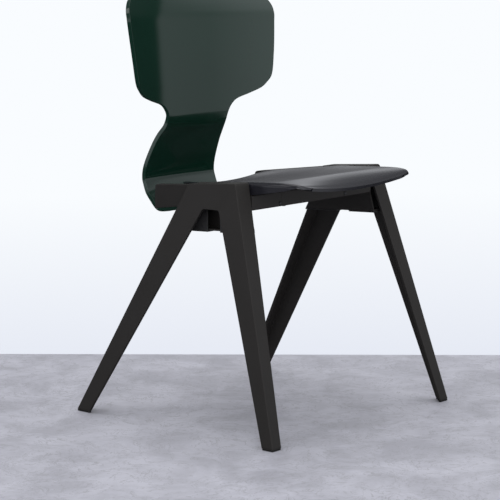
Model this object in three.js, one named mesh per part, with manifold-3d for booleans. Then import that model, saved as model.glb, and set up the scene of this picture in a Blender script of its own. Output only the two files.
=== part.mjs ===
// Nesting chair in millimetres: +X forwards, +Y to the sitter's left, +Z up.
// Two splayed side frames of folded sheet are joined by a front and a rear crossbar. They
// carry a thin seat shell and a one-piece back shell whose neck curls under the rear bar.
// Chairs stack with the rails of the upper one resting on the frame tops of the lower one.
// Pieces are laid out from the front top corner of the side frames, then the whole chair is
// moved so that the origin is on the floor under the middle of its footprint.
import * as THREE from 'three';
import { mergeVertices } from 'three/addons/utils/BufferGeometryUtils.js';
import Module from 'manifold-3d';

const wasm = await Module();
wasm.setup();

const { clamp, degToRad, lerp, smoothstep } = THREE.MathUtils;

// Fits, and the segments of rounded shapes
const clearance = 0.3;
const overrun = 2;
const cornerSegments = 5;
const roundSegments = 20;

// Side frame, seen from the side
const frameHeight = 440;
const topLength = 110;
const rearTopDrop = 7;
const frontFootReach = 122;
const rearFootReach = 252;
const frontFootLength = 24.5;
const rearFootLength = 33;
const openingDrop = 48;
const openingFrontSetback = 35;
const openingRearSetback = 73;
const openingRadius = 4;
const weldDrop = 9;
const shoulderRadius = 4;

// Side frame, seen from the front
const topHalfWidth = 198;
const floorHalfWidth = 247;
const sheet = 5;
const footDepth = 22.5;
const shoulderDepth = 34.5;

// Foot glides
const glideHeight = 3;
const glideMargin = 0.8;
const plugHeight = 6;
const plugSide = 8;

// Inner rails, their seat tabs and stacking pads
const railShow = 37;
const railFall = 4;
const railSetback = 5;
const railWidth = 22;
const railWall = 3;
const tabLength = 34;
const tabReach = 36;
const tabThickness = 3;
const tabLead = 13;
const padWall = 2;
const frontPadReveal = 12;
const rearPadReveal = 3;
const padHeight = 40;

// Rear arms
const armLength = 138;
const armRearGap = 32;
const armRecess = 2;
const armWidth = 17;
const armWall = 3;
const armTopStep = 2;
const armFrontDepth = 40.5;
const armRearDepth = 44.5;
const armTopDrop = 13.5;
const armEndLean = 4;
const armCornerRadius = 5;

// Front crossbar, its end sockets and their screws
const frontBarDepth = 30;
const frontBarHeight = 27;
const frontBarLead = 6;
const frontBarRadius = 3;
const frontBarWall = 3;
const frontBarSeam = 85;
const spigotLength = 38;
const socketScrewInset = 4;
const socketScrewRise = 6;
const screwRadius = 1.6;
const screwHeadRadius = 3;
const screwHeadHeight = 1.2;
const screwLength = 8;

// Rear crossbar
const rearBarDepth = 34;
const rearBarHeight = 26;
const rearBarWall = 3;
const rearBarRadius = 4;
const rearBarInset = 1;
const rearBarLift = 3.5;
const rearBarTilt = degToRad(9.5);

// Bolts of the seat and the back
const boltRadius = 2.5;
const boltHeadRadius = 5;
const boltHeadHeight = 3;

// Seat shell, its spacers and bolt places
const seatLead = 112;
const seatRearGap = 4;
const seatSideGap = 1.5;
const seatRise = 2;
const seatDip = 29;
const seatThickness = 6;
const seatSkin = 2;
const seatSideFold = 6.8;
const seatSideRun = 25.8;
const seatFlatShare = 0.6;
const spacerRadius = 9;
const spacerHeight = 10;
const frontBoltInset = 25;
const frontBoltSetback = 3;
const rearBoltInset = 23;
const seatColumns = 20;
const seatRowsPerStation = 3;

// Back shell, its clamp plate and bolts
const backThickness = 7.5;
const backReach = 107;
const backRise = 368.5;
const backHalfWidth = 193.5;
const backRadius = 566;
const backFadeRise = 36;
const backColumns = 16;
const backRows = 60;
const plateDepth = 28;
const plateMargin = 14;
const plateThickness = 3;
const backBoltInset = 18;
const backBoltPitch = 16;
const backBoltGrip = 5;

// Seat stations from the front edge to the rear edge. Each has the centre line's setback and
// dip, then the side edge's setback, half width and dip, and the run of its side turned
// down there, as shares of the seat's sizes.
const seatStationShares = [
  [0.0, 0.593, 0.003, 0.8, 0.3, 0.25],
  [0.012, 0.52, 0.014, 0.895, 0.2, 0.29],
  [0.044, 0.345, 0.039, 0.95, 0.08, 0.35],
  [0.1, 0.13, 0.095, 0.985, 0.017, 0.62],
  [0.174, 0.0, 0.174, 0.997, 0.014, 0.79],
  [0.237, 0.045, 0.237, 1.0, 0.038, 0.876],
  [0.33, 0.167, 0.33, 1.0, 0.083, 1.0],
  [0.43, 0.299, 0.43, 1.0, 0.135, 0.942],
  [0.49, 0.378, 0.49, 1.0, 0.165, 0.08],
  [0.56, 0.47, 0.56, 1.0, 0.215, 0.08],
  [0.692, 0.648, 0.692, 0.975, 0.362, 0.08],
  [0.875, 0.869, 0.875, 0.877, 0.569, 0.08],
  [0.947, 0.934, 0.947, 0.787, 0.638, 0.08],
  [0.984, 0.979, 0.984, 0.704, 0.679, 0.08],
  [1.0, 1.0, 0.998, 0.617, 0.724, 0.08],
];

// Flat stations of the back's foot, as shares of the rear bar's depth, front to rear
const backFootShares = [0.5, 0, -0.41, -0.65];
const backFootWidthShare = 0.486;

// Back stations from behind the foot up to the top edge, as shares of the back's reach behind
// the bar's centre, its half width and its rise above the bar's centre
const backStationShares = [
  [0.374, 0.484, -0.067],
  [0.583, 0.484, -0.067],
  [0.747, 0.484, -0.024],
  [0.892, 0.484, 0.017],
  [0.973, 0.484, 0.061],
  [0.985, 0.484, 0.088],
  [0.955, 0.481, 0.137],
  [0.782, 0.457, 0.246],
  [0.665, 0.441, 0.3],
  [0.537, 0.416, 0.349],
  [0.468, 0.419, 0.4],
  [0.459, 0.457, 0.432],
  [0.456, 0.51, 0.454],
  [0.456, 0.676, 0.481],
  [0.456, 0.815, 0.508],
  [0.456, 0.877, 0.535],
  [0.456, 0.922, 0.565],
  [0.479, 0.961, 0.68],
  [0.531, 0.994, 0.843],
  [0.546, 1.0, 0.886],
  [0.582, 0.985, 0.93],
  [0.627, 0.922, 0.973],
  [0.648, 0.845, 0.992],
  [0.657, 0.736, 1.0],
];

const coatedSteel = { color: '#2c2b2b', roughness: 0.45, metalness: 0.1 };
const seatBlack = { color: '#26262a', roughness: 0.42, metalness: 0 };
const backGreen = { color: '#1d3b2e', roughness: 0.14, metalness: 0 };
const blackNylon = { color: '#161616', roughness: 0.6, metalness: 0 };
const greyNylon = { color: '#3a3a3b', roughness: 0.55, metalness: 0 };
const blackZinc = { color: '#303032', roughness: 0.4, metalness: 0.8 };

// Heights and edges of the side frame
const rearTop = frameHeight - rearTopDrop;
const openingTop = frameHeight - openingDrop;
const weldHeight = openingTop - weldDrop;
const legFoot = glideHeight + clearance;
const splay = (floorHalfWidth - topHalfWidth) / frameHeight;
const outerAt = (z) => topHalfWidth + splay * (frameHeight - z);
const depthAt = (z) => lerp(footDepth, shoulderDepth, z / frameHeight);
const frontEdgeAt = (z) => lerp(frontFootReach, 0, z / frameHeight);
const rearEdgeAt = (z) => -topLength - lerp(rearFootReach, 0, z / rearTop);
const frontInnerAt = (z) => lerp(frontFootReach - frontFootLength, -openingFrontSetback, z / openingTop);
const rearInnerAt = (z) => lerp(rearEdgeAt(0) + rearFootLength, -openingRearSetback, z / openingTop);

// A prism with the given side view, from the surface y = low(x, z) to y = high(x, z)
function between(shape, low, high) {
  const geometry = new THREE.ExtrudeGeometry(shape, {
    depth: 1,
    bevelEnabled: false,
    curveSegments: cornerSegments,
  });
  const place = geometry.attributes.position;
  for (let i = 0; i < place.count; i += 1) {
    const x = place.getX(i);
    const z = place.getY(i);
    place.setXYZ(i, x, lerp(high(x, z), low(x, z), place.getZ(i)), z);
  }
  return geometry;
}

// Side view through the corners [x, z, radius]; a corner with a radius is eased
function outline(corners) {
  const shape = new THREE.Shape();
  corners.forEach(([x, z, radius = 0], i) => {
    const corner = new THREE.Vector2(x, z);
    const before = new THREE.Vector2(...corners.at(i - 1));
    const after = new THREE.Vector2(...corners[(i + 1) % corners.length]);
    const start = before.sub(corner).setLength(radius).add(corner);
    const end = after.sub(corner).setLength(radius).add(corner);
    if (i === 0) {
      shape.moveTo(start.x, start.y);
    } else {
      shape.lineTo(start.x, start.y);
    }
    if (radius > 0) {
      shape.quadraticCurveTo(x, z, end.x, end.y);
    }
  });
  return shape;
}

// Where the line from a to b meets the line from c to d
function meeting(a, b, c, d) {
  const run = [b[0] - a[0], b[1] - a[1]];
  const other = [d[0] - c[0], d[1] - c[1]];
  const cross = run[0] * other[1] - run[1] * other[0];
  const along = ((c[0] - a[0]) * other[1] - (c[1] - a[1]) * other[0]) / cross;
  return [a[0] + run[0] * along, a[1] + run[1] * along];
}

// Anticlockwise corners with each side moved inwards by its own distance; side i starts at
// corner i
function inset(corners, distances) {
  const sides = corners.map((from, i) => {
    const to = corners[(i + 1) % corners.length];
    const length = Math.hypot(to[0] - from[0], to[1] - from[1]);
    const shift = [
      (-(to[1] - from[1]) * distances[i]) / length,
      ((to[0] - from[0]) * distances[i]) / length,
    ];
    return [
      [from[0] + shift[0], from[1] + shift[1]],
      [to[0] + shift[0], to[1] + shift[1]],
    ];
  });
  return sides.map((side, i) => meeting(...sides.at(i - 1), ...side));
}

function solidOf(geometry) {
  const bare = geometry.clone();
  bare.deleteAttribute('normal');
  bare.deleteAttribute('uv');
  const merged = mergeVertices(bare);
  return new wasm.Manifold(new wasm.Mesh({
    numProp: 3,
    vertProperties: merged.attributes.position.array,
    triVerts: new Uint32Array(merged.index.array),
  }));
}

function geometryOf(solid) {
  const mesh = solid.getMesh();
  const geometry = new THREE.BufferGeometry();
  geometry.setAttribute('position', new THREE.BufferAttribute(mesh.vertProperties, 3));
  geometry.setIndex(new THREE.BufferAttribute(mesh.triVerts, 1));
  geometry.computeVertexNormals();
  return geometry;
}

function joined(...geometries) {
  return geometryOf(geometries.map(solidOf).reduce((whole, piece) => whole.add(piece)));
}

function cut(geometry, ...tools) {
  return geometryOf(tools.map(solidOf).reduce((left, tool) => left.subtract(tool), solidOf(geometry)));
}

// The same piece on the left-hand side
function mirrored(geometry) {
  const copy = mergeVertices(geometry.clone());
  copy.scale(1, -1, 1);
  const corners = copy.index.array;
  for (let i = 0; i < corners.length; i += 3) {
    [corners[i], corners[i + 1]] = [corners[i + 1], corners[i]];
  }
  return copy;
}

// An upright round bar from one height to another
function upright(radius, low, high, x, y) {
  const bar = new THREE.CylinderGeometry(radius, radius, high - low, roundSegments);
  bar.rotateX(Math.PI / 2);
  bar.translate(x, y, (low + high) / 2);
  return bar;
}

// A box between two corners
function block(low, high) {
  const box = new THREE.BoxGeometry(high[0] - low[0], high[1] - low[1], high[2] - low[2]);
  box.translate((low[0] + high[0]) / 2, (low[1] + high[1]) / 2, (low[2] + high[2]) / 2);
  return box;
}

// A leg of L section: a web on the outside and a flange along its outer edge
function leg(outerEdge, innerEdge, slope) {
  const low = legFoot;
  const high = weldHeight - clearance;
  const fold = Math.sign(innerEdge(low) - outerEdge(low)) * sheet * slope;
  const web = outline([
    [outerEdge(low), low],
    [outerEdge(high), high],
    [innerEdge(high), high],
    [innerEdge(low), low],
  ]);
  const flange = outline([
    [outerEdge(low), low],
    [outerEdge(high), high],
    [outerEdge(high) + fold, high],
    [outerEdge(low) + fold, low],
  ]);
  const outer = (x, z) => -outerAt(z);
  return joined(
    between(web, outer, (x, z) => sheet - outerAt(z)),
    between(flange, outer, (x, z) => depthAt(z) - outerAt(z)),
  );
}

// A flange's run along X for each unit of sheet, from the slope of its edge
const frontSlope = Math.hypot(frontFootReach, frameHeight) / frameHeight;
const rearSlope = Math.hypot(rearFootReach, rearTop) / rearTop;

function frontLeg() {
  return leg(frontEdgeAt, frontInnerAt, frontSlope);
}

function rearLeg() {
  return leg(rearEdgeAt, rearInnerAt, rearSlope);
}

// The shoulder that the legs are welded to, a tray open at its bottom and inner side
function shoulder() {
  const low = weldHeight;
  const corners = [
    [frontEdgeAt(low), low],
    [0, frameHeight, shoulderRadius],
    [-topLength, rearTop],
    [rearEdgeAt(low), low],
  ];
  const pocket = inset(corners, [sheet, sheet, sheet, -overrun]);
  const opening = [
    [frontInnerAt(low - overrun), low - overrun],
    [-openingFrontSetback, openingTop, openingRadius],
    [-openingRearSetback, openingTop, openingRadius],
    [rearInnerAt(low - overrun), low - overrun],
  ];
  const outer = (x, z) => -outerAt(z);
  const inner = (x, z) => depthAt(z) - outerAt(z);
  return cut(
    between(outline(corners), outer, inner),
    between(outline(pocket), (x, z) => sheet - outerAt(z), (x, z) => inner(x, z) + overrun),
    between(outline(opening), (x, z) => -outerAt(z) - overrun, (x, z) => inner(x, z) + overrun),
  );
}

// A glide: an L-shaped sole under the leg's L, with a plug that stands in its corner
function footGlide(outerEdge, innerEdge, slope) {
  const inward = Math.sign(innerEdge(0) - outerEdge(0));
  const outerX = outerEdge(glideHeight) + inward * glideMargin;
  const outerY = outerAt(glideHeight) - glideMargin;
  const sole = (reachX, reachY) => block(
    [Math.min(outerX, outerX + inward * reachX), -outerY, 0],
    [Math.max(outerX, outerX + inward * reachX), reachY - outerY, glideHeight],
  );
  const footLength = Math.abs(innerEdge(glideHeight) - outerEdge(glideHeight));
  const low = glideHeight / 2;
  const high = glideHeight + plugHeight;
  const flangeSide = (z) => outerEdge(z) + inward * (sheet + clearance) * slope;
  const plug = outline([
    [flangeSide(low), low],
    [flangeSide(high), high],
    [flangeSide(high) + inward * plugSide, high],
    [flangeSide(low) + inward * plugSide, low],
  ]);
  const webSide = (x, z) => sheet + clearance - outerAt(z);
  return joined(
    sole(footLength - 2 * glideMargin, sheet - glideMargin),
    sole(sheet * slope - glideMargin, depthAt(glideHeight) - 2 * glideMargin),
    sole(sheet * slope + plugSide, sheet + plugSide),
    between(plug, webSide, (x, z) => webSide(x, z) + plugSide),
  );
}

const frontGlide = () => footGlide(frontEdgeAt, frontInnerAt, frontSlope);
const rearGlide = () => footGlide(rearEdgeAt, rearInnerAt, rearSlope);

// Seat surface, lofted from its centre line out to its side edges
const seatTop = frameHeight + seatRise;
const seatHalfWidth = topHalfWidth - shoulderDepth - seatSideGap;
const seatRear = -topLength - armLength + rearBarInset + rearBarDepth + seatRearGap;
const seatLength = seatLead - seatRear;
const seatPlace = ([setback, dip], width = 0) => new THREE.Vector3(
  seatLead - setback * seatLength,
  width * seatHalfWidth,
  seatTop - dip * seatDip,
);
const seatCentre = new THREE.CatmullRomCurve3(
  seatStationShares.map(([setback, dip]) => seatPlace([setback, dip])),
);
const seatEdge = new THREE.CatmullRomCurve3(
  seatStationShares.map(([, , setback, width, dip]) => seatPlace([setback, dip], width)),
);

// The run of the turned-down side at a share of the way along, between the stations' runs
function seatRunAt(along) {
  const spans = seatStationShares.length - 1;
  const place = clamp(along, 0, 1) * spans;
  const station = Math.min(Math.floor(place), spans - 1);
  const [from, to] = [station, station + 1].map((i) => seatStationShares[i].at(-1));
  return lerp(from, to, place - station) * seatSideRun;
}

// Half width of the flat part, out to where the side begins to turn down
function seatFlatWidthAt(along) {
  const turn = Math.min(seatRunAt(along) / seatSideFold, Math.PI / 2);
  return seatEdge.getPoint(along).y - seatSideFold * Math.sin(turn);
}

// The flat part lies within the flat share of across; beyond it the side folds down
function seatSurface(across, along) {
  const centre = seatCentre.getPoint(along);
  const edge = seatEdge.getPoint(along);
  const size = Math.abs(across);
  const reach = Math.min(size / seatFlatShare, 1);
  const past = (Math.max(size - seatFlatShare, 0) / (1 - seatFlatShare)) * seatRunAt(along);
  const turn = Math.min(past / seatSideFold, Math.PI / 2);
  const fall = seatSideFold * (1 - Math.cos(turn)) + past - seatSideFold * turn;
  return new THREE.Vector3(
    lerp(centre.x, edge.x, reach * reach),
    Math.sign(across) * (reach * seatFlatWidthAt(along) + seatSideFold * Math.sin(turn)),
    lerp(centre.z, edge.z, reach * reach) - fall,
  );
}

// How far along the seat a line over it reaches x, found by halving the run
function seatAlongAt(x, acrossAt) {
  let front = 0;
  let rear = 1;
  for (let i = 0; i < roundSegments; i += 1) {
    const middle = (front + rear) / 2;
    if (seatSurface(acrossAt(middle), middle).x > x) {
      front = middle;
    } else {
      rear = middle;
    }
  }
  return rear;
}

function seatHeightAt(x, y) {
  const acrossAt = (along) => (seatFlatShare * y) / seatFlatWidthAt(along);
  const along = seatAlongAt(x, acrossAt);
  return seatSurface(acrossAt(along), along).z;
}

// Height of the bottom edge of the seat's turned-down sides
function seatFootAt(x) {
  return seatSurface(1, seatAlongAt(x, () => 1)).z;
}

// Side view of the rail: it fills the frame between its flanges, down to a sloping bottom edge
const railInner = topHalfWidth - shoulderDepth - clearance;
const railOuter = railInner + railWidth;
const railBottom = [[0, openingTop - railShow], [-topLength, openingTop - railShow - railFall]];
const railBottomAt = (x) => lerp(railBottom[0][1], railBottom[1][1], -x / topLength);

function railCorners() {
  const frontTop = [0, frameHeight];
  const backTop = [-topLength, rearTop];
  const corners = [
    meeting([frontFootReach, 0], frontTop, ...railBottom),
    frontTop,
    backTop,
    meeting([rearEdgeAt(0), 0], backTop, ...railBottom),
  ];
  const gap = sheet + clearance;
  return inset(corners, [gap + railSetback, gap, gap, 0]);
}

// Places of the seat bolts on the rails' tabs
const rearBoltX = tabLead - topLength;
const rearBoltY = railInner - rearBoltInset;

// The rail, a channel open to the outside, with a tab that carries the seat
function innerRail() {
  const corners = railCorners();
  const bore = inset(corners, [-overrun, railWall, -overrun, railWall]);
  const channel = cut(
    between(outline(corners), () => -railOuter, () => -railInner),
    between(outline(bore), () => -railOuter - overrun, () => -railInner - railWall),
  );
  const tabTop = rearSupportHeight();
  const tab = block(
    [rearBoltX - tabLength / 2, -railInner - railWall / 2, tabTop - tabThickness],
    [rearBoltX + tabLength / 2, -railInner + tabReach, tabTop],
  );
  const hole = upright(boltRadius + clearance, tabTop - tabThickness - overrun, tabTop + overrun,
    rearBoltX, -rearBoltY);
  return cut(joined(channel, tab), hole);
}

// A stacking pad, an angle under the rail's bottom and up its outer side, from the rail's end
// to the gap between the two pads
function stackingPad(edge, shift, gapX) {
  const flange = [legFoot, rearTop].map((z) => [edge(z) + shift, z]);
  const place = (rise) => meeting(...flange, ...railBottom.map(([x, z]) => [x, z + rise]));
  const side = (low, high) => outline([
    place(low),
    place(high),
    [gapX, railBottomAt(gapX) + high],
    [gapX, railBottomAt(gapX) + low],
  ]);
  const outerFace = () => -railOuter - clearance - padWall;
  const skin = clearance + padWall;
  return joined(
    between(side(-skin, -clearance), outerFace, () => -railInner),
    between(side(-skin, padHeight), outerFace, () => -railOuter - clearance),
  );
}

const frontPad = () => stackingPad(
  frontEdgeAt,
  -(sheet + clearance + railSetback) * frontSlope,
  -openingFrontSetback - frontPadReveal,
);
const rearPad = () => stackingPad(
  rearEdgeAt,
  (sheet + clearance) * rearSlope,
  -openingRearSetback - rearPadReveal,
);

// Plan of the rear arms: their outer and inner faces come together towards the rear
const backFootHalfWidth = backFootWidthShare * backHalfWidth;
const armRear = -topLength - armLength;
const armFrontHalfWidth = topHalfWidth - armRecess;
const armRearHalfWidth = backFootHalfWidth + armRearGap + armWidth;
const armOuterAt = (x) => lerp(armFrontHalfWidth, armRearHalfWidth, -(x + topLength) / armLength);
const armInnerAt = (x) => armOuterAt(x) - armWidth;
const armTop = rearTop - armTopStep;
const armRearTop = armTop - armTopDrop;
const armRearBottom = armRearTop - armRearDepth;

// A hollow arm from the shoulder's rear flange to beside the rear crossbar
function rearArm() {
  const armBottom = armTop - armFrontDepth;
  const corners = [
    [rearEdgeAt(armBottom) - clearance, armBottom],
    [rearEdgeAt(armTop) - clearance, armTop],
    [armRear, armRearTop, armCornerRadius],
    [armRear - armEndLean, armRearBottom, armCornerRadius],
  ];
  const bore = inset(corners, [-overrun, armWall, armWall, armWall]);
  return cut(
    between(outline(corners), (x) => -armOuterAt(x), (x) => -armInnerAt(x)),
    between(outline(bore), (x) => armWall - armOuterAt(x), (x) => -armInnerAt(x) - armWall),
  );
}

// Side view of a rectangular bar with eased corners, about its middle
function barSection(depth, height, radius) {
  return [
    [depth / 2, -height / 2, radius],
    [depth / 2, height / 2, radius],
    [-depth / 2, height / 2, radius],
    [-depth / 2, -height / 2, radius],
  ];
}

// Front crossbar: a middle bar whose ends narrow to spigots in two welded sockets
const frontBarX = frontBarLead - frontBarDepth / 2;
const frontBoltX = frontBarX - frontBoltSetback;
const frontBoltY = frontBarSeam - frontBoltInset;
const frontBarTop = seatFootAt(frontBarX) - clearance;
const frontBarZ = frontBarTop - frontBarHeight / 2;
const socketScrewY = frontBarSeam + socketScrewInset;
const socketScrewZ = frontBarZ - frontBarHeight / 2 + socketScrewRise;

function frontSection(margin) {
  const corners = barSection(
    frontBarDepth - 2 * margin,
    frontBarHeight - 2 * margin,
    frontBarRadius,
  );
  return outline(corners.map(([x, z, radius]) => [x + frontBarX, z + frontBarZ, radius]));
}

function socketScrewHole(radius) {
  const length = 2 * (screwLength + overrun);
  const hole = new THREE.CylinderGeometry(radius, radius, length, roundSegments);
  hole.rotateZ(Math.PI / 2);
  hole.translate(frontBarLead, -socketScrewY, socketScrewZ);
  return hole;
}

function frontCrossbar() {
  const spigotEnd = frontBarSeam + spigotLength;
  const spigotMargin = frontBarWall + clearance;
  const boreMargin = spigotMargin + frontBarWall;
  const screwHole = socketScrewHole(screwRadius + clearance);
  const low = frontBarZ - frontBarHeight / 2 - overrun;
  const high = frontBarZ + frontBarHeight / 2 + overrun;
  const boltHoles = [-frontBoltY, frontBoltY].map(
    (y) => upright(boltRadius + clearance, low, high, frontBoltX, y),
  );
  return cut(
    joined(
      between(frontSection(0), () => -frontBarSeam, () => frontBarSeam),
      between(frontSection(spigotMargin), () => -spigotEnd, () => spigotEnd),
    ),
    between(frontSection(boreMargin), () => -spigotEnd - overrun, () => spigotEnd + overrun),
    screwHole,
    mirrored(screwHole),
    ...boltHoles,
  );
}

function crossbarSocket() {
  const outerEnd = railInner - clearance;
  const innerEnd = frontBarSeam + clearance;
  return cut(
    between(frontSection(0), () => -outerEnd, () => -innerEnd),
    between(frontSection(frontBarWall), () => -outerEnd - overrun, () => -innerEnd + overrun),
    socketScrewHole(screwRadius + clearance),
  );
}

// A pan-head screw through the front of the socket into the spigot
function socketScrew() {
  const profile = [
    [0, -screwLength],
    [screwRadius, -screwLength],
    [screwRadius, clearance],
    [screwHeadRadius, clearance],
    [screwHeadRadius, clearance + screwHeadHeight / 2],
    [screwHeadRadius / 2, clearance + screwHeadHeight],
    [0, clearance + screwHeadHeight],
  ];
  const screw = new THREE.LatheGeometry(profile.map((point) => new THREE.Vector2(...point)), roundSegments);
  screw.rotateZ(-Math.PI / 2);
  screw.translate(frontBarLead, -socketScrewY, socketScrewZ);
  return screw;
}

// Rear crossbar, a tube tilted with its front edge up, trimmed to the arms' inner faces
const rearBarX = armRear + rearBarInset + rearBarDepth / 2;
const rearBarZ = armRearBottom + rearBarHeight / 2 + rearBarLift;

// A side-view place given along and across the tilted bar, from its middle
function tiltedPlace(along, across) {
  return [
    rearBarX + along * Math.cos(rearBarTilt) - across * Math.sin(rearBarTilt),
    rearBarZ + along * Math.sin(rearBarTilt) + across * Math.cos(rearBarTilt),
  ];
}

// A piece made about the bar's middle, turned and moved into its place
function tilted(geometry) {
  geometry.rotateY(-rearBarTilt);
  geometry.translate(rearBarX, 0, rearBarZ);
  return geometry;
}

const plateHalfWidth = backFootHalfWidth - plateMargin;
const backBoltY = plateHalfWidth - backBoltInset;

function backBoltPlaces() {
  return [-backBoltPitch / 2, backBoltPitch / 2].flatMap(
    (x) => [-backBoltY, backBoltY].map((y) => [x, y]),
  );
}

// A hole for each back bolt, from one height above the bar's middle to another
function backBoltHoles(low, high) {
  return backBoltPlaces().map(([x, y]) => tilted(upright(boltRadius + clearance, low, high, x, y)));
}

function rearCrossbar() {
  const turned = (corners) => corners.map(([x, z, radius]) => [...tiltedPlace(x, z), radius]);
  const shape = outline(turned(barSection(rearBarDepth, rearBarHeight, rearBarRadius)));
  const boreDepth = rearBarDepth - 2 * rearBarWall;
  const boreHeight = rearBarHeight - 2 * rearBarWall;
  shape.holes.push(outline(turned(barSection(boreDepth, boreHeight, rearBarRadius - clearance))));
  const tube = between(
    shape,
    (x) => clearance - armInnerAt(x),
    (x) => armInnerAt(x) - clearance,
  );
  const low = -rearBarHeight / 2 - overrun;
  return cut(tube, ...backBoltHoles(low, -rearBarHeight / 2 + rearBarWall + overrun));
}

// A shell over a surface: across runs from -1 to 1, along from 0 to 1, and the two faces lie
// at the given distances along the surface's normal
function shell(surface, lowFace, highFace, columns, rows) {
  const geometry = new THREE.BoxGeometry(2, 1, 1, columns, rows, 1);
  const place = geometry.attributes.position;
  const step = 1 / (rows * roundSegments);
  for (let i = 0; i < place.count; i += 1) {
    const across = place.getX(i);
    const along = place.getY(i) + 1 / 2;
    const before = Math.max(along - step, 0);
    const after = Math.min(along + step, 1);
    const tangent = surface(across, after).sub(surface(across, before));
    const width = surface(across + step, along).sub(surface(across - step, along));
    const normal = width.cross(tangent).normalize();
    const offset = lerp(lowFace, highFace, place.getZ(i) + 1 / 2);
    const point = surface(across, along).addScaledVector(normal, offset);
    place.setXYZ(i, point.x, point.y, point.z);
  }
  return geometry;
}

// Height of the tabs' tops, one spacer under the seat
function rearSupportHeight() {
  return seatHeightAt(rearBoltX, rearBoltY) - seatThickness - spacerHeight;
}

// Seat bolt places, each with the height of what its spacer and its head bear on
function seatBoltPlaces() {
  const places = [];
  for (const side of [-1, 1]) {
    places.push({
      x: frontBoltX,
      y: side * frontBoltY,
      support: frontBarTop,
      headTop: frontBarTop - frontBarHeight,
    });
    places.push({
      x: rearBoltX,
      y: side * rearBoltY,
      support: rearSupportHeight(),
      headTop: rearSupportHeight() - tabThickness,
    });
  }
  return places;
}

function plainSeat() {
  return shell(
    seatSurface,
    -seatThickness,
    0,
    seatColumns,
    seatRowsPerStation * (seatStationShares.length - 1),
  );
}

function seatShell() {
  const holes = seatBoltPlaces().map(({ x, y, support }) => upright(
    boltRadius + clearance,
    support,
    seatHeightAt(x, y) - seatSkin + clearance,
    x,
    y,
  ));
  return cut(plainSeat(), ...holes);
}

// A spacer between its support and the seat's underside
function seatSpacer({ x, y, support }) {
  const low = support + clearance;
  const high = seatHeightAt(x, y) - seatThickness / 2;
  const lowered = plainSeat();
  lowered.translate(0, 0, -clearance);
  return cut(
    upright(spacerRadius, low, high, x, y),
    lowered,
    upright(boltRadius + clearance, low - overrun, high + overrun, x, y),
  );
}

// A button-head bolt standing on its head, its top face at the given height
function bolt(headTop, tip) {
  const profile = [
    [0, headTop - boltHeadHeight],
    [boltHeadRadius / 2, headTop - boltHeadHeight],
    [boltHeadRadius, headTop - boltHeadHeight / 2],
    [boltHeadRadius, headTop],
    [boltRadius, headTop],
    [boltRadius, tip],
    [0, tip],
  ];
  const geometry = new THREE.LatheGeometry(profile.map((point) => new THREE.Vector2(...point)), roundSegments);
  geometry.rotateX(Math.PI / 2);
  return geometry;
}

function seatBolt({ x, y, headTop }) {
  const geometry = bolt(headTop - clearance, seatHeightAt(x, y) - seatSkin);
  geometry.translate(x, y, 0);
  return geometry;
}

// Back shell: its foot lies flat under the rear bar, then the neck swings up behind it
const backFootMiddle = -rearBarHeight / 2 - clearance - backThickness / 2;
const backFoot = backFootShares.map((share) => {
  const [x, z] = tiltedPlace(share * rearBarDepth, backFootMiddle);
  return new THREE.Vector3(x, backFootHalfWidth, z);
});
const backRun = backStationShares.map(([reach, width, rise]) => new THREE.Vector3(
  rearBarX - reach * backReach,
  width * backHalfWidth,
  rearBarZ + rise * backRise,
));
const backCurve = new THREE.CatmullRomCurve3([...backFoot, ...backRun]);
const backFadeStart = backFoot[0].z;

// The shell is hollowed about an upright axis in front of it, fading out towards the foot
function backSurface(across, along) {
  const station = backCurve.getPointAt(along);
  const y = across * station.y;
  const fade = smoothstep(station.z, backFadeStart, backFadeStart + backFadeRise);
  return new THREE.Vector3(station.x + (fade * y * y) / (2 * backRadius), y, station.z);
}

function backShell() {
  const plain = shell(backSurface, -backThickness / 2, backThickness / 2, backColumns, backRows);
  const low = backFootMiddle - backThickness / 2 - overrun;
  return cut(plain, ...backBoltHoles(low, backFootMiddle + backThickness / 2 + clearance));
}

// The plate that clamps the back's foot to the bar
const plateTop = backFootMiddle - backThickness / 2 - clearance;

function clampPlate() {
  const plate = block(
    [-plateDepth / 2, -plateHalfWidth, plateTop - plateThickness],
    [plateDepth / 2, plateHalfWidth, plateTop],
  );
  return cut(tilted(plate), ...backBoltHoles(plateTop - plateThickness - overrun, plateTop + clearance));
}

function backBolt([x, y]) {
  const geometry = bolt(plateTop - plateThickness - clearance, backBoltGrip - rearBarHeight / 2);
  geometry.translate(x, y, 0);
  return tilted(geometry);
}

const chair = new THREE.Group();

function addPiece(name, geometry, look) {
  const piece = new THREE.Mesh(geometry, new THREE.MeshStandardMaterial(look));
  piece.name = name;
  chair.add(piece);
}

// The right-hand piece and its mirror image
function addPair(name, geometry, look) {
  addPiece(`right_${name}`, geometry, look);
  addPiece(`left_${name}`, mirrored(geometry), look);
}

addPair('shoulder', shoulder(), coatedSteel);
addPair('front_leg', frontLeg(), coatedSteel);
addPair('rear_leg', rearLeg(), coatedSteel);
addPair('inner_rail', innerRail(), coatedSteel);
addPair('rear_arm', rearArm(), coatedSteel);
addPair('front_foot_glide', frontGlide(), blackNylon);
addPair('rear_foot_glide', rearGlide(), blackNylon);
addPair('front_stacking_pad', frontPad(), greyNylon);
addPair('rear_stacking_pad', rearPad(), greyNylon);
addPiece('front_crossbar', frontCrossbar(), coatedSteel);
addPair('crossbar_socket', crossbarSocket(), coatedSteel);
addPair('crossbar_screw', socketScrew(), blackZinc);
addPiece('rear_crossbar', rearCrossbar(), coatedSteel);
addPiece('seat_shell', seatShell(), seatBlack);
addPiece('back_shell', backShell(), backGreen);
addPiece('back_clamp_plate', clampPlate(), coatedSteel);
seatBoltPlaces().forEach((place, i) => {
  addPiece(`seat_spacer_${i + 1}`, seatSpacer(place), blackNylon);
  addPiece(`seat_bolt_${i + 1}`, seatBolt(place), blackZinc);
});
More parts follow.
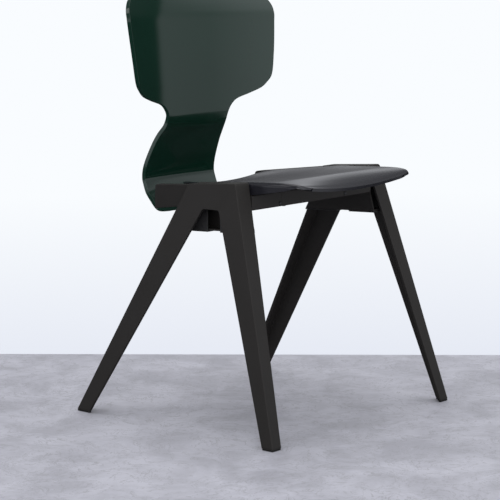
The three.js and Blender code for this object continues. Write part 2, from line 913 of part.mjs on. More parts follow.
backBoltPlaces().forEach((place, i) => {
  addPiece(`back_bolt_${i + 1}`, backBolt(place), blackZinc);
});

// The middle of the footprint comes over the origin
chair.position.x = -(frontEdgeAt(0) + rearEdgeAt(0)) / 2;

export default chair;
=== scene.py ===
import math

import bmesh
import bpy
from mathutils import Matrix, Vector


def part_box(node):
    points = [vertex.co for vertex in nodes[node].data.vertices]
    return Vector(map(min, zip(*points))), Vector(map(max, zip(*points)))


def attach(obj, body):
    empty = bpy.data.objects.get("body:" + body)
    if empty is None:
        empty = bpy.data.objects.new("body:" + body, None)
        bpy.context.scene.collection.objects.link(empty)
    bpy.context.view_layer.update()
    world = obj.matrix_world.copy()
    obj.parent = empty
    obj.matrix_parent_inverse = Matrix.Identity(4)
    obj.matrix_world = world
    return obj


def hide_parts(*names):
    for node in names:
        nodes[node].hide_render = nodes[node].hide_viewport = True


# a nesting chair: splayed A frames of folded, powder-coated sheet steel, a black seat shell
# and a glossy dark green back shell whose neck curls under the rear crossbar

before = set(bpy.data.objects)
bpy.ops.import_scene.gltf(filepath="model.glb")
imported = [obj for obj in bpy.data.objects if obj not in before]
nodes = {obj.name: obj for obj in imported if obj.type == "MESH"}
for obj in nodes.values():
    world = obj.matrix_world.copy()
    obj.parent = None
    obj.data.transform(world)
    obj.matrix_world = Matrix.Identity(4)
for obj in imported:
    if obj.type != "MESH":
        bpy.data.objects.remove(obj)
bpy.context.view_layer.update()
print("frame loaded:", len(nodes), "nodes")

mm = 0.001
# the side frames are measured from their front top corner, which stands this far ahead of
# the middle of the footprint
datumX = 120 * mm


# helpers

def linearColour(hexText):
    # an sRGB hex colour as linear light, with full alpha
    channels = [int(hexText[i:i + 2], 16) / 255 for i in (1, 3, 5)]
    return [c / 12.92 if c <= 0.04045 else ((c + 0.055) / 1.055) ** 2.4 for c in channels] + [1.0]


def addNode(tree, kind, settings=None, inputs=None, links=None):
    # settings are the node's own properties, inputs are socket values, and links join a
    # socket of this node to another node's output
    node = tree.nodes.new(kind)
    for name, value in (settings or {}).items():
        setattr(node, name, value)
    for name, value in (inputs or {}).items():
        node.inputs[name].default_value = value
    for name, output in (links or {}).items():
        tree.links.new(output, node.inputs[name])
    return node


def newMaterial(name):
    material = bpy.data.materials.new(name)
    material.use_nodes = True
    tree = material.node_tree
    tree.nodes.clear()
    shader = addNode(tree, "ShaderNodeBsdfPrincipled")
    addNode(tree, "ShaderNodeOutputMaterial", links={"Surface": shader.outputs[0]})
    place = addNode(tree, "ShaderNodeTexCoord").outputs["Object"]
    return material, tree, shader, place


def newPiece(name, bm, materialUsed):
    mesh = bpy.data.meshes.new(name)
    bmesh.ops.recalc_face_normals(bm, faces=bm.faces)
    bm.to_mesh(mesh)
    bm.free()
    mesh.materials.append(materialUsed)
    mesh.shade_smooth()
    piece = bpy.data.objects.new(name, mesh)
    bpy.context.scene.collection.objects.link(piece)
    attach(piece, "root")
    return piece


def roundEdges(piece, width, segments=2, angle=30):
    # rounds the arrises, and keeps the flat faces flat in the shading
    bevel = piece.modifiers.new("roundedEdges", "BEVEL")
    bevel.width = width
    bevel.segments = segments
    bevel.limit_method = "ANGLE"
    bevel.angle_limit = math.radians(angle)
    bevel.miter_outer = "MITER_ARC"
    piece.modifiers.new("flatFaces", "WEIGHTED_NORMAL")


# materials; a roughness pair runs from the glossiest places to the dullest

# steel, powder coated and baked: a fine orange peel that breaks up the highlights
powderCoat = {
    "base": "#2c2a28",
    "patch": "#312f2e",
    "mottleMm": 60,
    "mottleDetail": 3.0,
    "grainMm": 1.6,
    "grainDetail": 2.0,
    "roughness": (0.42, 0.52),
    "glossFollows": "grain",
    "bump": 0.12,
    "bumpDepth": 0.05 * mm,
    "ior": 1.5,
    "specular": 0.2,
}

# polypropylene, moulded in a spark-eroded tool: a fine matt grain with a soft sheen; the
# grain is drawn a few times coarser than the real one, so that it shows close up
seatPlastic = {
    "base": "#202026",
    "patch": "#25252b",
    "mottleMm": 90,
    "mottleDetail": 3.0,
    "grainMm": 0.9,
    "grainDetail": 2.0,
    "roughness": (0.19, 0.27),
    "glossFollows": "mottle",
    "bump": 0.1,
    "bumpDepth": 0.05 * mm,
    "ior": 1.49,
    "specular": 0.5,
}

# ABS, moulded in a polished tool: mirror-like, with the faint ripple of the moulding
backPlastic = {
    "base": "#0e2c22",
    "patch": "#113126",
    "mottleMm": 160,
    "mottleDetail": 2.0,
    "grainMm": 14,
    "grainDetail": 1.0,
    "roughness": (0.07, 0.12),
    "glossFollows": "mottle",
    "bump": 0.05,
    "bumpDepth": 0.1 * mm,
    "ior": 1.54,
    "specular": 0.5,
}


def makeFinish(name, finish):
    # the colour drifts between two tones in soft patches, and the grain stands in relief
    material, tree, shader, place = newMaterial(name)
    patterns = {}
    for pattern in ("mottle", "grain"):
        noise = addNode(tree, "ShaderNodeTexNoise",
                        inputs={"Scale": 1 / (finish[pattern + "Mm"] * mm),
                                "Detail": finish[pattern + "Detail"]},
                        links={"Vector": place})
        patterns[pattern] = noise.outputs["Fac"]
    colour = addNode(tree, "ShaderNodeMix", {"data_type": "RGBA"},
                     inputs={"A": linearColour(finish["base"]),
                             "B": linearColour(finish["patch"])},
                     links={"Factor": patterns["mottle"]})
    glossiest, dullest = finish["roughness"]
    gloss = addNode(tree, "ShaderNodeMapRange",
                    inputs={"To Min": glossiest, "To Max": dullest},
                    links={"Value": patterns[finish["glossFollows"]]})
    relief = addNode(tree, "ShaderNodeBump",
                     inputs={"Strength": finish["bump"], "Distance": finish["bumpDepth"]},
                     links={"Height": patterns["grain"]})
    tree.links.new(colour.outputs["Result"], shader.inputs["Base Color"])
    tree.links.new(gloss.outputs["Result"], shader.inputs["Roughness"])
    tree.links.new(relief.outputs["Normal"], shader.inputs["Normal"])
    shader.inputs["IOR"].default_value = finish["ior"]
    shader.inputs["Specular IOR Level"].default_value = finish["specular"]
    return material


# glass-filled nylon, injection moulded: matt, with a slightly grainy skin; its grain too is
# drawn coarser than the real one
nylon = {
    "grainMm": 0.8,
    "grainDetail": 2.0,
    "bump": 0.15,
    "bumpDepth": 0.05 * mm,
    "ior": 1.53,
}


def makeNylon(name, base, glossiest, dullest):
    material, tree, shader, place = newMaterial(name)
    grain = addNode(tree, "ShaderNodeTexNoise",
                    inputs={"Scale": 1 / (nylon["grainMm"] * mm),
                            "Detail": nylon["grainDetail"]},
                    links={"Vector": place})
    gloss = addNode(tree, "ShaderNodeMapRange",
                    inputs={"To Min": glossiest, "To Max": dullest},
                    links={"Value": grain.outputs["Fac"]})
    relief = addNode(tree, "ShaderNodeBump",
                     inputs={"Strength": nylon["bump"], "Distance": nylon["bumpDepth"]},
                     links={"Height": grain.outputs["Fac"]})
    tree.links.new(gloss.outputs["Result"], shader.inputs["Roughness"])
    tree.links.new(relief.outputs["Normal"], shader.inputs["Normal"])
    shader.inputs["Base Color"].default_value = linearColour(base)
    shader.inputs["IOR"].default_value = nylon["ior"]
    return material


# steel, zinc plated and passivated black: a dull metal sheen of uneven gloss
zincPlate = {
    "base": "#4a4a4d",
    "cloudMm": 3,
    "cloudDetail": 3.0,
    "roughness": (0.3, 0.45),
}


def makeBlackZinc():
    material, tree, shader, place = newMaterial("blackZincSteel")
    cloud = addNode(tree, "ShaderNodeTexNoise",
                    inputs={"Scale": 1 / (zincPlate["cloudMm"] * mm),
                            "Detail": zincPlate["cloudDetail"]},
                    links={"Vector": place})
    glossiest, dullest = zincPlate["roughness"]
    gloss = addNode(tree, "ShaderNodeMapRange",
                    inputs={"To Min": glossiest, "To Max": dullest},
                    links={"Value": cloud.outputs["Fac"]})
    tree.links.new(gloss.outputs["Result"], shader.inputs["Roughness"])
    shader.inputs["Base Color"].default_value = linearColour(zincPlate["base"])
    shader.inputs["Metallic"].default_value = 1.0
    return material


coatedSteel = makeFinish("powderCoatedSteel", powderCoat)
seatBlack = makeFinish("mouldedPolypropylene", seatPlastic)
backGreen = makeFinish("polishedAbs", backPlastic)
soleNylon = makeNylon("blackNylon", "#171717", 0.55, 0.65)
padNylon = makeNylon("greyNylon", "#2c2c2d", 0.5, 0.6)
blackZinc = makeBlackZinc()
print("materials made")


# side frames: one folded and welded A frame on each side

sideFrame = {
    "height": 440 * mm,
    "topLength": 110 * mm,
    "rearTop": 433 * mm,
    "frontReach": 122 * mm,
    "rearReach": 252 * mm,
    "frontFoot": 24.5 * mm,
    "rearFoot": 33 * mm,
    "openingTop": 392 * mm,
    "openingFront": -35 * mm,
    "openingRear": -73 * mm,
    "openingRadius": 4 * mm,
    "topHalfWidth": 198 * mm,
    "floorHalfWidth": 247 * mm,
    "sheet": 5 * mm,
    "footDepth": 22.5 * mm,
    "shoulderDepth": 34.5 * mm,
    "legFoot": 3.3 * mm,
    "foldRadius": 1.6 * mm,
    "foldSegments": 5,
    "foldStart": 1 * mm,  # above the leg's foot
    "cornerRadius": 4 * mm,
    "cornerSegments": 6,
    "openingSegments": 8,
    "edgeRadius": 0.7 * mm,
}
roundProfile = 0.5  # the bevel's setting for a circular section


def mixed(a, b, share):
    return a + (b - a) * share


def rearEdge(z):
    return -sideFrame["topLength"] - mixed(sideFrame["rearReach"], 0, z / sideFrame["rearTop"])


def frontEdge(z):
    return mixed(sideFrame["frontReach"], 0, z / sideFrame["height"])


def outerHalfWidth(z):
    return mixed(sideFrame["floorHalfWidth"], sideFrame["topHalfWidth"], z / sideFrame["height"])


def flangeDepth(z):
    return mixed(sideFrame["footDepth"], sideFrame["shoulderDepth"], z / sideFrame["height"])


def crossing(a, b, c, d):
    run, other = b - a, d - c
    along = ((c.x - a.x) * other.y - (c.y - a.y) * other.x) / (run.x * other.y - run.y * other.x)
    return a + run * along


def shifted(a, b, distance):
    # the line from a to b, moved to its left
    run = (b - a).normalized()
    aside = Vector((-run.y, run.x)) * distance
    return a + aside, b + aside


def openingOutline():
    # up the rear leg's inner edge, over the rounded top, and down the front leg's
    s = sideFrame
    foot = s["legFoot"]
    rearFloor = Vector((rearEdge(0) + s["rearFoot"], 0))
    frontFloor = Vector((s["frontReach"] - s["frontFoot"], 0))
    rearTop = Vector((s["openingRear"], s["openingTop"]))
    frontTop = Vector((s["openingFront"], s["openingTop"]))
    points = [rearFloor + (rearTop - rearFloor) * (foot / s["openingTop"])]
    for before, corner, after in ((rearFloor, rearTop, frontTop), (rearTop, frontTop, frontFloor)):
        start = corner + (before - corner).normalized() * s["openingRadius"]
        end = corner + (after - corner).normalized() * s["openingRadius"]
        for step in range(s["openingSegments"] + 1):
            t = step / s["openingSegments"]
            points.append(start * (1 - t) ** 2 + corner * (2 * t * (1 - t)) + end * t ** 2)
    points.append(frontFloor + (frontTop - frontFloor) * (foot / s["openingTop"]))
    return points


def isFold(edge, web):
    # an edge of the web, above the foot, from which a flange turns in
    if max(vert.co.z for vert in edge.verts) < sideFrame["legFoot"] + sideFrame["foldStart"]:
        return False
    return any(outerHalfWidth(vert.co.z) - abs(vert.co.y) > 2 * sideFrame["sheet"]
               for face in edge.link_faces if face is not web for vert in face.verts)


def makeSideFrame(name, side, replaced):
    s = sideFrame
    foot = s["legFoot"]
    outer = [Vector((frontEdge(foot), foot)), Vector((0, s["height"])),
             Vector((-s["topLength"], s["rearTop"])), Vector((rearEdge(foot), foot))]
    front = shifted(outer[0], outer[1], s["sheet"])
    top = shifted(outer[1], outer[2], s["sheet"])
    rear = shifted(outer[2], outer[3], s["sheet"])
    ground = (Vector((0, foot)), Vector((1, foot)))
    inner = [crossing(*front, *ground), crossing(*front, *top), crossing(*top, *rear),
             crossing(*rear, *ground)]
    opening = openingOutline()
    bm = bmesh.new()

    def ringOf(points, inwardAt):
        return [bm.verts.new((p.x + datumX, side * (outerHalfWidth(p.y) - inwardAt(p.y)), p.y))
                for p in points]

    outerWeb = ringOf(outer, lambda z: 0)
    outerLip = ringOf(outer, flangeDepth)
    innerWeb = ringOf(inner, lambda z: s["sheet"])
    innerLip = ringOf(inner, flangeDepth)
    openingOuter = ringOf(opening, lambda z: 0)
    openingInner = ringOf(opening, lambda z: s["sheet"])
    bm.faces.new(outerWeb + openingOuter)
    bm.faces.new(innerWeb + openingInner)
    for i in range(3):
        bm.faces.new([outerWeb[i], outerWeb[i + 1], outerLip[i + 1], outerLip[i]])
        bm.faces.new([innerWeb[i], innerWeb[i + 1], innerLip[i + 1], innerLip[i]])
        bm.faces.new([outerLip[i], outerLip[i + 1], innerLip[i + 1], innerLip[i]])
    for i in range(len(opening) - 1):
        bm.faces.new([openingOuter[i], openingOuter[i + 1], openingInner[i + 1], openingInner[i]])
    for corner, end in ((0, -1), (3, 0)):
        bm.faces.new([outerWeb[corner], openingOuter[end], openingInner[end],
                      innerWeb[corner], innerLip[corner], outerLip[corner]])
    bmesh.ops.recalc_face_normals(bm, faces=bm.faces)
    bmesh.ops.bevel(bm, geom=[bm.edges.get((outerWeb[1], outerLip[1]))],
                    offset=s["cornerRadius"], segments=s["cornerSegments"],
                    profile=roundProfile, affect="EDGES")
    web = max(bm.faces, key=lambda face: face.calc_area())
    folds = [edge for edge in web.edges if isFold(edge, web)]
    bmesh.ops.bevel(bm, geom=folds, offset=s["foldRadius"], segments=s["foldSegments"],
                    profile=roundProfile, affect="EDGES", clamp_overlap=True)
    piece = newPiece(name, bm, coatedSteel)
    roundEdges(piece, s["edgeRadius"])
    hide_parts(*replaced)


makeSideFrame("rightSideFrame", -1, ["right_shoulder", "right_front_leg", "right_rear_leg"])
makeSideFrame("leftSideFrame", 1, ["left_shoulder", "left_front_leg", "left_rear_leg"])
print("side frames made")


# pieces whose solids only need their arrises rounded

solidCleaning = {
    "weldGap": 0.01 * mm,
    "flatAngle": 1,
}

# radius of the arrises and its segments, material and slot
piecesOfEachSide = {
    "rear_arm": (1.6 * mm, 3, coatedSteel, "coated_steel"),
    "inner_rail": (0.8 * mm, 2, coatedSteel, "coated_steel"),
    "crossbar_socket": (0.4 * mm, 2, coatedSteel, "coated_steel"),
    "front_stacking_pad": (0.6 * mm, 2, padNylon, "grey_nylon"),
    "rear_stacking_pad": (0.6 * mm, 2, padNylon, "grey_nylon"),
    "front_foot_glide": (0.8 * mm, 2, soleNylon, "black_nylon"),
    "rear_foot_glide": (0.8 * mm, 2, soleNylon, "black_nylon"),
}
piecesBetween = {
    "front_crossbar": (0.4 * mm, 2, coatedSteel, "coated_steel"),
    "rear_crossbar": (0.6 * mm, 2, coatedSteel, "coated_steel"),
    "back_clamp_plate": (0.6 * mm, 2, coatedSteel, "coated_steel"),
    "seat_spacer_1": (0.6 * mm, 2, soleNylon, "black_nylon"),
    "seat_spacer_2": (0.6 * mm, 2, soleNylon, "black_nylon"),
    "seat_spacer_3": (0.6 * mm, 2, soleNylon, "black_nylon"),
    "seat_spacer_4": (0.6 * mm, 2, soleNylon, "black_nylon"),
}


def roundedCopy(node, width, segments, materialUsed, slotName):
    bm = bmesh.new()
    bm.from_mesh(nodes[node].data)
    bmesh.ops.remove_doubles(bm, verts=bm.verts, dist=solidCleaning["weldGap"])
    bmesh.ops.dissolve_limit(bm, angle_limit=math.radians(solidCleaning["flatAngle"]),
                             verts=bm.verts, edges=bm.edges)
    piece = newPiece("rounded_" + node, bm, materialUsed)
    roundEdges(piece, width, segments)
    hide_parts(node)


for side in ("right", "left"):
    for node, finish in piecesOfEachSide.items():
        roundedCopy(f"{side}_{node}", *finish)
for node, finish in piecesBetween.items():
    roundedCopy(node, *finish)
print("bars, rails, pads and glides made")


# shells

def spanAt(count, along):
    # the span between so many stations that holds along, and how far into it along lies
    position = min(max(along, 0.0), 1.0) * (count - 1)
    index = min(int(position), count - 2)
    return index, position - index


def splinePoint(points, along):
    # a centripetal Catmull-Rom spline through the points, with along from 0 to 1
    index, t = spanAt(len(points), along)
    p1, p2 = points[index], points[index + 1]
    p0 = points[index - 1] if index > 0 else p1 * 2 - p2
    p3 = points[index + 2] if index + 2 < len(points) else p2 * 2 - p1
    d0 = math.sqrt((p1 - p0).length)
    d1 = math.sqrt((p2 - p1).length)
    d2 = math.sqrt((p3 - p2).length)
    m1 = ((p1 - p0) / d0 - (p2 - p0) / (d0 + d1) + (p2 - p1) / d1) * d1
    m2 = ((p2 - p1) / d1 - (p3 - p1) / (d1 + d2) + (p3 - p2) / d2) * d1
    return (p1 * (2 * t ** 3 - 3 * t ** 2 + 1) + m1 * (t ** 3 - 2 * t ** 2 + t)
            + p2 * (3 * t ** 2 - 2 * t ** 3) + m2 * (t ** 3 - t ** 2))


shellRim = {
    "segments": 4,
    "angle": 60,
    "slopeStep": 0.0005,  # as a share of the surface, to either side of a point
}


def makeShell(name, surface, lowFace, highFace, sizes, materialUsed):
    # a closed shell over a surface, with rounded rims
    columns, rows = sizes["columns"], sizes["rows"]
    step = shellRim["slopeStep"]
    bm = bmesh.new()
    grids = []
    for face in (lowFace, highFace):
        grid = []
        for row in range(rows + 1):
            line = []
            along = row / rows
            for column in range(columns + 1):
                across = -1 + 2 * column / columns
                tangent = (surface(across, min(along + step, 1))
                           - surface(across, max(along - step, 0)))
                width = surface(across + step, along) - surface(across - step, along)
                normal = width.cross(tangent).normalized()
                line.append(bm.verts.new(surface(across, along) + normal * face))
            grid.append(line)
        grids.append(grid)
    low, high = grids
    for row in range(rows):
        for column in range(columns):
            for grid in grids:
                bm.faces.new([grid[row][column], grid[row][column + 1],
                              grid[row + 1][column + 1], grid[row + 1][column]])
        for column in (0, columns):
            bm.faces.new([low[row][column], low[row + 1][column],
                          high[row + 1][column], high[row][column]])
    for column in range(columns):
        for row in (0, rows):
            bm.faces.new([low[row][column], low[row][column + 1],
                          high[row][column + 1], high[row][column]])
    piece = newPiece(name, bm, materialUsed)
    roundEdges(piece, sizes["edgeRadius"], shellRim["segments"], shellRim["angle"])
    return piece


seat = {
    "lead": 112 * mm,
    "length": 321 * mm,
    "halfWidth": 162 * mm,
    "top": 442 * mm,
    "dip": 29 * mm,
    "thickness": 6 * mm,
    "edgeRadius": 2.4 * mm,
    "fold": 6.8 * mm,
    "sideRun": 25.8 * mm,
    "flatShare": 0.6,
    "columns": 80,
    "rows": 140,
    # from the front edge to the rear edge: the centre line's setback and dip, then the side
    # edge's setback, half width and dip, and the run of its side turned down there, as
    # shares of the sizes above
    "stations": [
        (0.0, 0.593, 0.003, 0.8, 0.3, 0.25), (0.012, 0.52, 0.014, 0.895, 0.2, 0.29),
        (0.044, 0.345, 0.039, 0.95, 0.08, 0.35), (0.1, 0.13, 0.095, 0.985, 0.017, 0.62),
        (0.174, 0.0, 0.174, 0.997, 0.014, 0.79), (0.237, 0.045, 0.237, 1.0, 0.038, 0.876),
        (0.33, 0.167, 0.33, 1.0, 0.083, 1.0), (0.43, 0.299, 0.43, 1.0, 0.135, 0.942),
        (0.49, 0.378, 0.49, 1.0, 0.165, 0.08), (0.56, 0.47, 0.56, 1.0, 0.215, 0.08),
        (0.692, 0.648, 0.692, 0.975, 0.362, 0.08), (0.875, 0.869, 0.875, 0.877, 0.569, 0.08),
        (0.947, 0.934, 0.947, 0.787, 0.638, 0.08), (0.984, 0.979, 0.984, 0.704, 0.679, 0.08),
        (1.0, 1.0, 0.998, 0.617, 0.724, 0.08),
    ],
}


def seatPlace(setback, width, dip):
    return Vector((datumX + seat["lead"] - setback * seat["length"],
                   width * seat["halfWidth"],
                   seat["top"] - dip * seat["dip"]))


seatCentre = [seatPlace(station[0], 0, station[1]) for station in seat["stations"]]
seatSide = [seatPlace(*station[2:5]) for station in seat["stations"]]


def seatRun(along):
    # the run of the turned-down side, between the stations' runs
    index, share = spanAt(len(seat["stations"]), along)
    runs = [station[5] for station in seat["stations"][index:index + 2]]
    return mixed(*runs, share) * seat["sideRun"]


def seatSurface(across, along):
    # a hollowed sheet whose sides fold down beyond the flat share
    centre = splinePoint(seatCentre, along)
    side = splinePoint(seatSide, along)
    fold = seat["fold"]
    run = seatRun(along)
    flatWidth = side.y - fold * math.sin(min(run / fold, math.pi / 2))
    reach = min(abs(across) / seat["flatShare"], 1)
    past = max(abs(across) - seat["flatShare"], 0) / (1 - seat["flatShare"]) * run
    bend = min(past / fold, math.pi / 2)
    fall = fold * (1 - math.cos(bend)) + past - fold * bend
    return Vector((mixed(centre.x, side.x, reach ** 2),
                   math.copysign(reach * flatWidth + fold * math.sin(bend), across),
                   mixed(centre.z, side.z, reach ** 2) - fall))


seatShell = makeShell("seatShell", seatSurface, -seat["thickness"], 0, seat,
                      seatBlack)
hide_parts("seat_shell")
print("seat made")

rearBar = {
    "x": -230 * mm,
    "z": 389.5 * mm,
    "tilt": math.radians(9.5),
    "depth": 34 * mm,
    "height": 26 * mm,
    "clampPlate": 3 * mm,
    "boltReach": 5 * mm,  # past the bar's lower face
}

back = {
    "thickness": 7.5 * mm,
    "reach": 107 * mm,
    "halfWidth": 193.5 * mm,
    "rise": 368.5 * mm,
    "hollowRadius": 566 * mm,
    "fadeRise": 36 * mm,
    "clearance": 0.3 * mm,
    "edgeRadius": 3.4 * mm,
    "columns": 40,
    "rows": 200,
    "measuringSteps": 200,
    "footWidth": 0.486,
    "footShares": (0.5, 0, -0.41, -0.65),
    # from behind the foot up to the top edge: reach behind the bar, half width and rise
    # above the bar, as shares of the sizes above
    "stations": [
        (0.374, 0.484, -0.067), (0.583, 0.484, -0.067), (0.747, 0.484, -0.024),
        (0.892, 0.484, 0.017), (0.973, 0.484, 0.061), (0.985, 0.484, 0.088),
        (0.955, 0.481, 0.137), (0.782, 0.457, 0.246), (0.665, 0.441, 0.3),
        (0.537, 0.416, 0.349), (0.468, 0.419, 0.4), (0.459, 0.457, 0.432),
        (0.456, 0.51, 0.454), (0.456, 0.676, 0.481), (0.456, 0.815, 0.508),
        (0.456, 0.877, 0.535), (0.456, 0.922, 0.565), (0.479, 0.961, 0.68),
        (0.531, 0.994, 0.843), (0.546, 1.0, 0.886), (0.582, 0.985, 0.93),
        (0.627, 0.922, 0.973), (0.648, 0.845, 0.992), (0.657, 0.736, 1.0),
    ],
}


def tiltedPlace(along, across):
    # a place in side view, along and across the tilted rear bar from its middle
    turn = rearBar["tilt"]
    return (rearBar["x"] + along * math.cos(turn) - across * math.sin(turn),
            rearBar["z"] + along * math.sin(turn) + across * math.cos(turn))


footMiddle = -rearBar["height"] / 2 - back["clearance"] - back["thickness"] / 2
backRun = []
for share in back["footShares"]:
    x, z = tiltedPlace(share * rearBar["depth"], footMiddle)
    backRun.append(Vector((x, back["footWidth"] * back["halfWidth"], z)))
for reach, width, rise in back["stations"]:
    backRun.append(Vector((rearBar["x"] - reach * back["reach"], width * back["halfWidth"],
                           rearBar["z"] + rise * back["rise"])))
backSteps = back["measuringSteps"]
backLengths = [0.0]
for i in range(backSteps):
    backLengths.append(backLengths[-1] + (splinePoint(backRun, (i + 1) / backSteps)
                                          - splinePoint(backRun, i / backSteps)).length)


def evenPoint(along):
    # a point of the back's run by its share of the run's length
    wanted = along * backLengths[-1]
    index = 0
    while index < backSteps - 1 and backLengths[index + 1] < wanted:
        index += 1
    share = (wanted - backLengths[index]) / (backLengths[index + 1] - backLengths[index])
    return splinePoint(backRun, (index + share) / backSteps)


def backSurface(across, along):
    # flat where the bar clamps it, and hollow from side to side above that
    station = evenPoint(along)
    y = across * station.y
    fade = min(max((station.z - backRun[0].z) / back["fadeRise"], 0), 1)
    fade = fade * fade * (3 - 2 * fade)
    return Vector((datumX + station.x + fade * y * y / (2 * back["hollowRadius"]), y, station.z))


backShell = makeShell("backShell", backSurface, -back["thickness"] / 2, back["thickness"] / 2,
                      back, backGreen)
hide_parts("back_shell")
print("back made")


# bolts and screws, each with a hexagonal recess in its head

bolt = {
    "headRadius": 5 * mm,
    "headHeight": 3 * mm,
    "shankRadius": 2.5 * mm,
}
screw = {
    "headRadius": 3 * mm,
    "headHeight": 1.2 * mm,
    "shankRadius": 1.6 * mm,
}
buttonHead = {
    "sides": 24,
    # shares of the head's radius and, from its top, of its height
    "recess": (0.5, 0.55),
    "crown": (0.625, 0),
    "shoulder": (0.82, 0.22),
    "rim": (1, 0.6),
    "shankTip": 0.4 * mm,
    "edgeRadius": 0.15 * mm,
}


def makeFastener(name, node, sizes, foot, axis, shankLength):
    # the head stands on its bearing face at foot, and the shank runs along the axis
    radius, height, shank = sizes["headRadius"], sizes["headHeight"], sizes["shankRadius"]
    count = buttonHead["sides"]
    tip = buttonHead["shankTip"]
    recessShare, recessDepth = buttonHead["recess"]
    recess = radius * recessShare
    profile = [(recess, height * (recessDepth - 1), True), (recess, -height, True)]
    for reachShare, depthShare in (buttonHead["crown"], buttonHead["shoulder"],
                                   buttonHead["rim"]):
        profile.append((radius * reachShare, height * (depthShare - 1), False))
    profile += [(radius, 0, False), (shank, 0, False), (shank, shankLength - tip, False),
                (shank - tip, shankLength, False)]
    bm = bmesh.new()
    rings = []
    for distance, level, hexagonal in profile:
        ring = []
        for i in range(count):
            angle = 2 * math.pi * i / count
            reach = distance
            if hexagonal:
                within = (angle % (math.pi / 3)) - math.pi / 6
                reach = distance * math.cos(math.pi / 6) / math.cos(within)
            ring.append(bm.verts.new((reach * math.cos(angle), reach * math.sin(angle), level)))
        rings.append(ring)
    for lower, upper in zip(rings, rings[1:]):
        for i in range(count):
            j = (i + 1) % count
            bm.faces.new([lower[i], lower[j], upper[j], upper[i]])
    bm.faces.new(rings[0])
    bm.faces.new(rings[-1])
    turn = Vector((0, 0, 1)).rotation_difference(Vector(axis)).to_matrix().to_4x4()
    bmesh.ops.transform(bm, matrix=Matrix.Translation(foot) @ turn, verts=bm.verts)
    piece = newPiece(name, bm, blackZinc)
    roundEdges(piece, buttonHead["edgeRadius"])
    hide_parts(node)


def placeOf(node):
    low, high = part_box(node)
    return low, high, (low + high) / 2


for i in range(1, 5):
    low, high, middle = placeOf(f"seat_bolt_{i}")
    headFoot = low.z + bolt["headHeight"]
    makeFastener(f"seatBolt{i}", f"seat_bolt_{i}", bolt, (middle.x, middle.y, headFoot),
                 (0, 0, 1), high.z - headFoot)

# the back's bolts stand under the clamp plate, square to the tilted bar
tilt = rearBar["tilt"]
headFoot = (footMiddle - back["thickness"] / 2 - back["clearance"] - rearBar["clampPlate"]
            - back["clearance"])
backShank = rearBar["boltReach"] - rearBar["height"] / 2 - headFoot
for i in range(1, 5):
    low, high, middle = placeOf(f"back_bolt_{i}")
    along = ((middle.x - datumX - rearBar["x"]) * math.cos(tilt)
             + (middle.z - rearBar["z"]) * math.sin(tilt))
    x, z = tiltedPlace(along, headFoot)
    makeFastener(f"backBolt{i}", f"back_bolt_{i}", bolt, (x + datumX, middle.y, z),
                 (-math.sin(tilt), 0, math.cos(tilt)), backShank)

for side in ("right", "left"):
    low, high, middle = placeOf(side + "_crossbar_screw")
    headFoot = high.x - screw["headHeight"]
    makeFastener(side + "CrossbarScrew", side + "_crossbar_screw", screw,
                 (headFoot, middle.y, middle.z), (-1, 0, 0), headFoot - low.x)
print("fasteners made")


# camera

view = {
    "place": (2.2943, -2.5476, 0.8114),
    "turn": 42.353,
    "pitch": -8.621,
    "roll": -0.807,
    "lens": 136.29,
    "sensorWidth": 36,
}


def makeCamera():
    turn, pitch, roll = [math.radians(view[angle]) for angle in ("turn", "pitch", "roll")]
    look = Vector((-math.sin(turn) * math.cos(pitch), math.cos(turn) * math.cos(pitch),
                   math.sin(pitch)))
    level = Vector((math.cos(turn), math.sin(turn), 0))
    upright = level.cross(look)
    right = level * math.cos(roll) + upright * math.sin(roll)
    up = upright * math.cos(roll) - level * math.sin(roll)
    axes = Matrix((right, up, -look)).transposed()
    camera = bpy.data.objects.new("camera", bpy.data.cameras.new("camera"))
    camera.matrix_world = Matrix.Translation(view["place"]) @ axes.to_4x4()
    camera.data.lens = view["lens"]
    camera.data.sensor_width = view["sensorWidth"]
    bpy.context.scene.collection.objects.link(camera)
    bpy.context.scene.camera = camera


makeCamera()


# floor

# cast concrete, power floated and sealed: pale grey with soft clouds, scuffs and fine pores
concrete = {
    "base": "#cfcfda",
    "patch": "#b6b6c0",
    "scuff": "#9c9ca3",
    # the floor as glossy pieces mirror it: painted shade, much darker than the floor itself
    "inGloss": "#2c2c30",
    "roughness": 0.5,
    # seven clouds to the metre, scuffs 62.5 mm apart and pores 2.5 mm apart
    "clouds": {"Scale": 1 / (1000 / 7 * mm), "Detail": 12.0, "Roughness": 0.7,
               "Distortion": 0.4},
    "cloudRange": (0.4, 0.6),
    "scuffs": {"Scale": 1 / (62.5 * mm), "Detail": 6.0, "Roughness": 0.65, "Distortion": 1.5},
    "scuffMiddle": 0.5,
    "scuffWidth": 0.014,
    "scuffStrength": 0.8,
    "pores": {"Scale": 1 / (2.5 * mm), "Detail": 2.0},
    "bump": 0.2,
    "bumpDepth": 0.2 * mm,
}
slab = {
    "farEdge": ((-0.7148, 0.0261, 0), (0.0495, 0.6191, 0)),
    # from the middle of those two points, in metres
    "left": 6.0,
    "right": 0.65,
    "near": 12.0,
}


